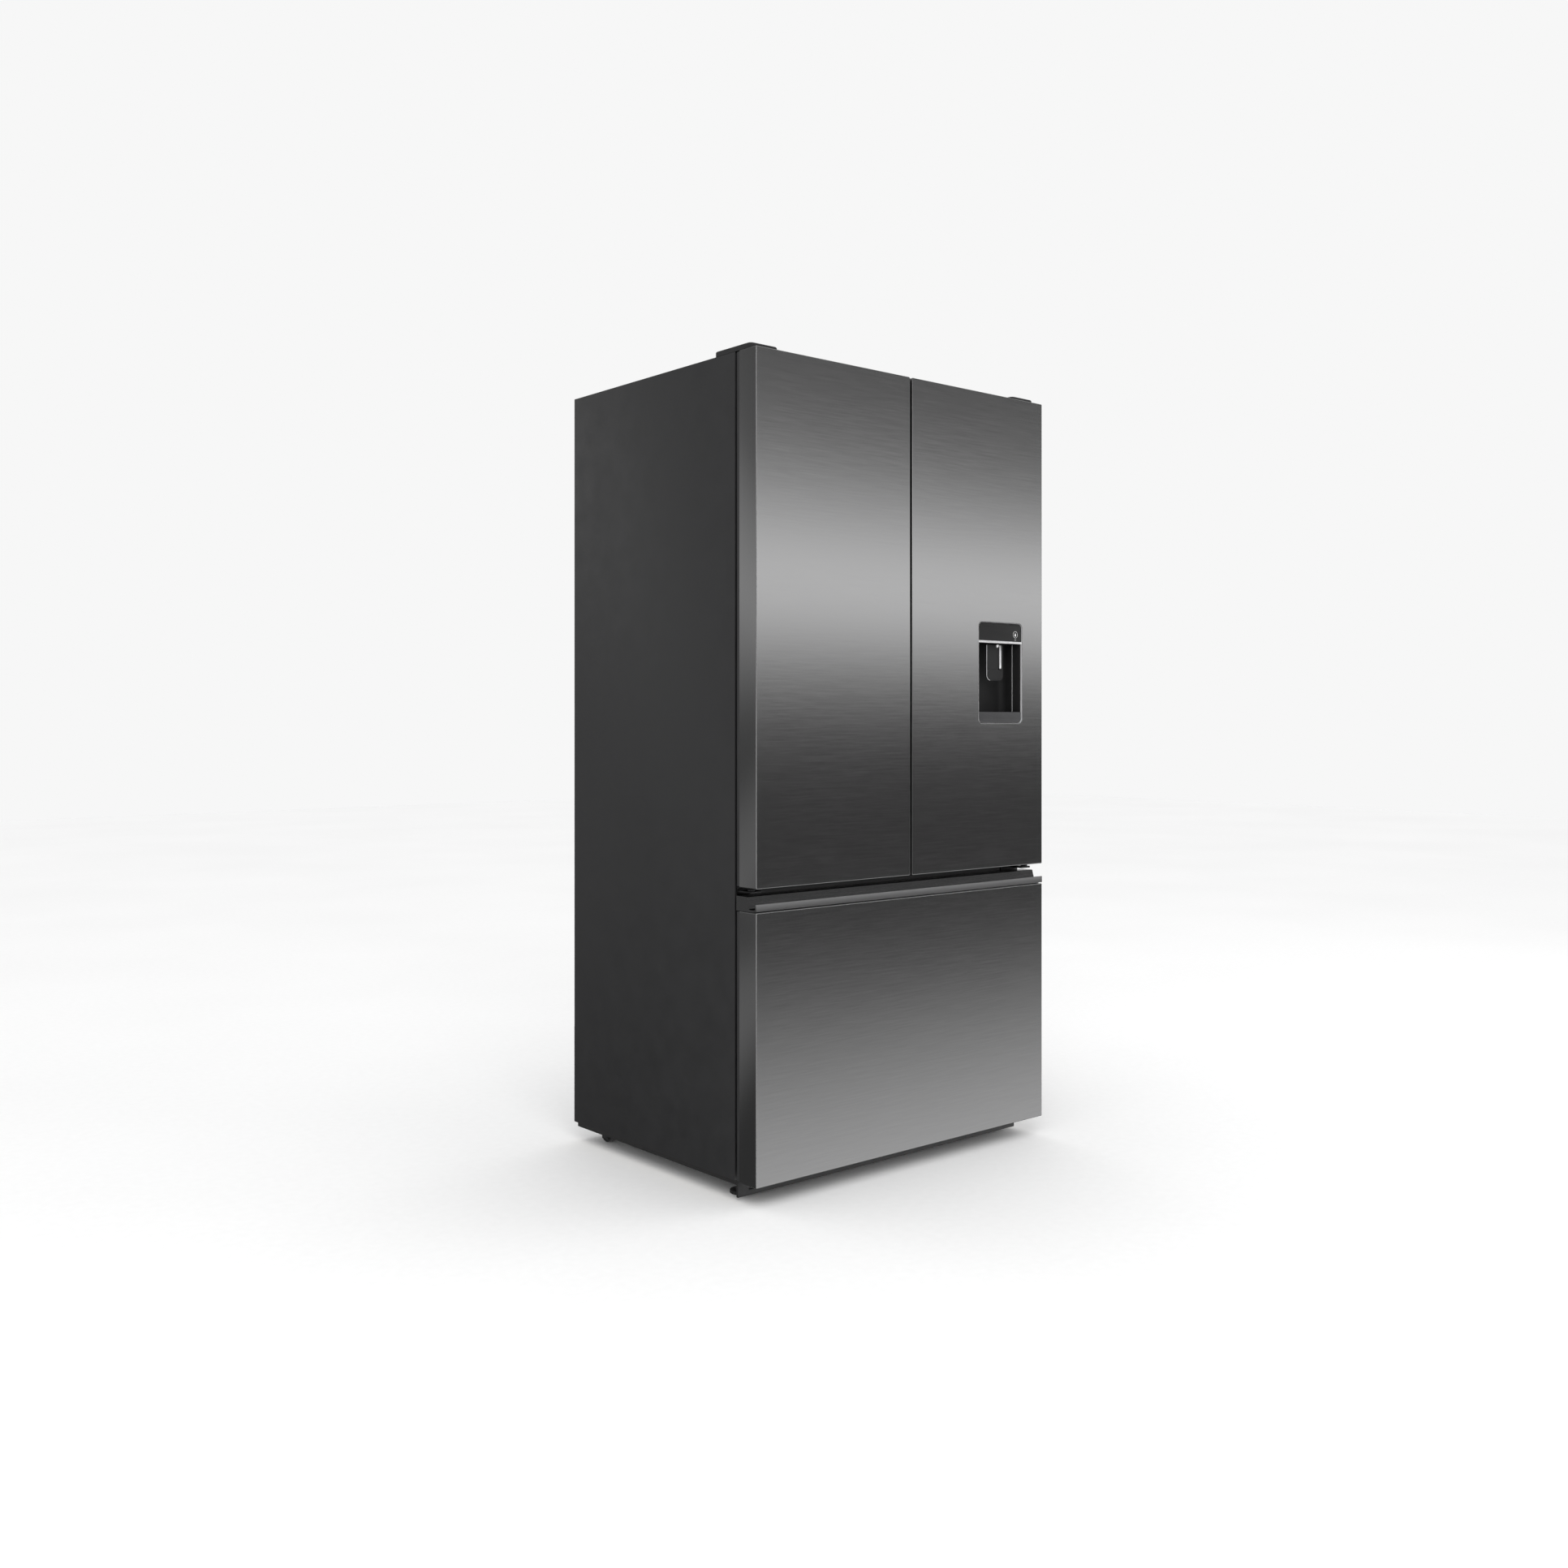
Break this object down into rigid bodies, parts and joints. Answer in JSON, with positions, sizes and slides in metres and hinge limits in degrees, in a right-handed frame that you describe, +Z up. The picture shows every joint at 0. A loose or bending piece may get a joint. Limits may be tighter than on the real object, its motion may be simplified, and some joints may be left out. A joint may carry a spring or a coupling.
{
  "type": "french door refrigerator",
  "caption": "French door refrigerator in dark brushed stainless steel, with a water dispenser in the right door and a pull-out bottom freezer drawer with a scoop handle.",
  "frame": {"origin": "on the floor, under the middle of the closed refrigerator", "axes": "+X to the viewer's right, +Y from the door faces to the back, +Z up"},
  "size_m": [0.9, 0.695, 1.79],
  "materials": {
    "black_stainless": "dark tinted stainless, fine horizontal brushing",
    "handle_satin": "satin dark anodised extrusion",
    "bright_trim": "bright polished trim",
    "dispenser_black": "fine matt black moulding",
    "dispenser_grey": "dark grey satin moulding",
    "graphite_paint": "dark grey powder coat, fine texture",
    "zinc_sheet": "galvanised sheet",
    "black_plastic": "matt black moulding",
    "hinge_steel": "zinc plated steel",
    "rail_steel": "zinc plated steel",
    "foam": "rigid foam",
    "white_liner": "vacuum formed white liner",
    "gasket_rubber": "soft grey magnetic seal",
    "clear_bin": "clear moulding",
    "frosted_basket": "frosted moulding",
    "shelf_glass": "toughened glass",
    "compressor_black": "gloss black enamel",
    "copper_tube": "copper tube",
    "fin_aluminium": "bare fins"
  },
  "bodies": {
    "cabinet": {"cabinet_shell": "graphite_paint", "insulation_body": "foam", "fridge_liner": "white_liner", "freezer_liner": "white_liner", "back_panel": "zinc_sheet", "machine_cover": "zinc_sheet", "power_inlet": "black_plastic", "base_frame": "graphite_paint", "toe_grille": "black_plastic", "compressor": "compressor_black", "condenser_coil": "copper_tube", "evaporator_coil": "fin_aluminium", "fridge_duct_cover": "white_liner", "freezer_duct_cover": "white_liner", "middle_shelf": "shelf_glass", "upper_shelf": "shelf_glass", "crisper_cover": "shelf_glass", "top_hinge_left": "hinge_steel", "top_hinge_right": "hinge_steel", "top_hinge_cover_left": "black_plastic", "top_hinge_cover_right": "black_plastic", "middle_hinge_left": "hinge_steel", "middle_hinge_right": "hinge_steel", "outer_rail_left": "rail_steel", "outer_rail_right": "rail_steel"},
    "left_door": {"left_door_skin": "black_stainless", "left_door_liner": "white_liner", "left_door_gasket": "gasket_rubber", "left_bin_lower": "clear_bin", "left_bin_middle": "clear_bin", "left_bin_upper": "clear_bin"},
    "mullion": {"mullion_flap": "white_liner"},
    "right_door": {"right_door_skin": "black_stainless", "right_door_liner": "white_liner", "right_door_gasket": "gasket_rubber", "right_bin_lower": "clear_bin", "right_bin_upper": "clear_bin", "dispenser_housing": "dispenser_black", "dispenser_bezel": "bright_trim", "dispenser_control_panel": "dispenser_grey", "dispenser_drip_tray": "dispenser_grey", "dispenser_nozzle": "dispenser_black"},
    "paddle": {"dispenser_paddle": "dispenser_grey"},
    "freezer_drawer": {"drawer_skin": "black_stainless", "drawer_liner": "white_liner", "drawer_handle": "handle_satin", "drawer_gasket": "gasket_rubber", "freezer_basket": "frosted_basket", "inner_rail_left": "rail_steel", "inner_rail_right": "rail_steel"},
    "middle_rails": {"middle_rail_left": "rail_steel", "middle_rail_right": "rail_steel"},
    "freezer_tray": {"freezer_tray": "clear_bin"},
    "left_crisper": {"crisper_left": "clear_bin"},
    "right_crisper": {"crisper_right": "clear_bin"},
    "condenser_fan": {"condenser_fan": "black_plastic"},
    "left_foot": {"levelling_foot_left": "black_plastic"},
    "right_foot": {"levelling_foot_right": "black_plastic"},
    "left_roller": {"rear_roller_left": "black_plastic"},
    "right_roller": {"rear_roller_right": "black_plastic"}
  },
  "joints": [
    {"name": "left_door_hinge", "type": "hinge", "parent": "cabinet", "child": "left_door", "pos_m": [-0.43, -0.3075, 0.6595], "axis": [0, 0, -1], "range_deg": [0, 120]},
    {"name": "right_door_hinge", "type": "hinge", "parent": "cabinet", "child": "right_door", "pos_m": [0.43, -0.3075, 0.6595], "axis": [0, 0, 1], "range_deg": [0, 120]},
    {"name": "mullion_hinge", "type": "hinge", "parent": "left_door", "child": "mullion", "pos_m": [-0.056, -0.262, 0.69], "axis": [0, 0, 1], "range_deg": [0, 90]},
    {"name": "paddle_hinge", "type": "hinge", "parent": "right_door", "child": "paddle", "pos_m": [0.2995, -0.328, 1.184], "axis": [1, 0, 0], "range_deg": [0, 8], "stiffness_Nm_per_rad": 0.05},
    {"name": "freezer_drawer_slide", "type": "slide", "parent": "cabinet", "child": "freezer_drawer", "axis": [0, -1, 0], "range_m": [0, 0.42]},
    {"name": "middle_rail_slide", "type": "slide", "parent": "cabinet", "child": "middle_rails", "axis": [0, -1, 0], "range_m": [0, 0.21]},
    {"name": "freezer_tray_slide", "type": "slide", "parent": "freezer_drawer", "child": "freezer_tray", "axis": [0, 1, 0], "range_m": [0, 0.15]},
    {"name": "left_crisper_slide", "type": "slide", "parent": "cabinet", "child": "left_crisper", "axis": [0, -1, 0], "range_m": [0, 0.09]},
    {"name": "right_crisper_slide", "type": "slide", "parent": "cabinet", "child": "right_crisper", "axis": [0, -1, 0], "range_m": [0, 0.09]},
    {"name": "condenser_fan_spindle", "type": "hinge", "parent": "cabinet", "child": "condenser_fan", "pos_m": [-0.06, 0.244, 0.155], "axis": [1, 0, 0], "continuous": true},
    {"name": "left_foot_screw", "type": "hinge", "parent": "cabinet", "child": "left_foot", "pos_m": [-0.396, -0.2275, 0], "axis": [0, 0, 1], "continuous": true},
    {"name": "right_foot_screw", "type": "hinge", "parent": "cabinet", "child": "right_foot", "pos_m": [0.396, -0.2275, 0], "axis": [0, 0, 1], "continuous": true},
    {"name": "left_roller_axle", "type": "hinge", "parent": "cabinet", "child": "left_roller", "pos_m": [-0.386, 0.2825, 0.02], "axis": [1, 0, 0], "continuous": true},
    {"name": "right_roller_axle", "type": "hinge", "parent": "cabinet", "child": "right_roller", "pos_m": [0.386, 0.2825, 0.02], "axis": [1, 0, 0], "continuous": true}
  ],
  "couplings": [
    {"joint": "mullion_hinge", "follows": "left_door_hinge", "ratio": 0.75},
    {"joint": "middle_rail_slide", "follows": "freezer_drawer_slide", "ratio": 0.5}
  ]
}
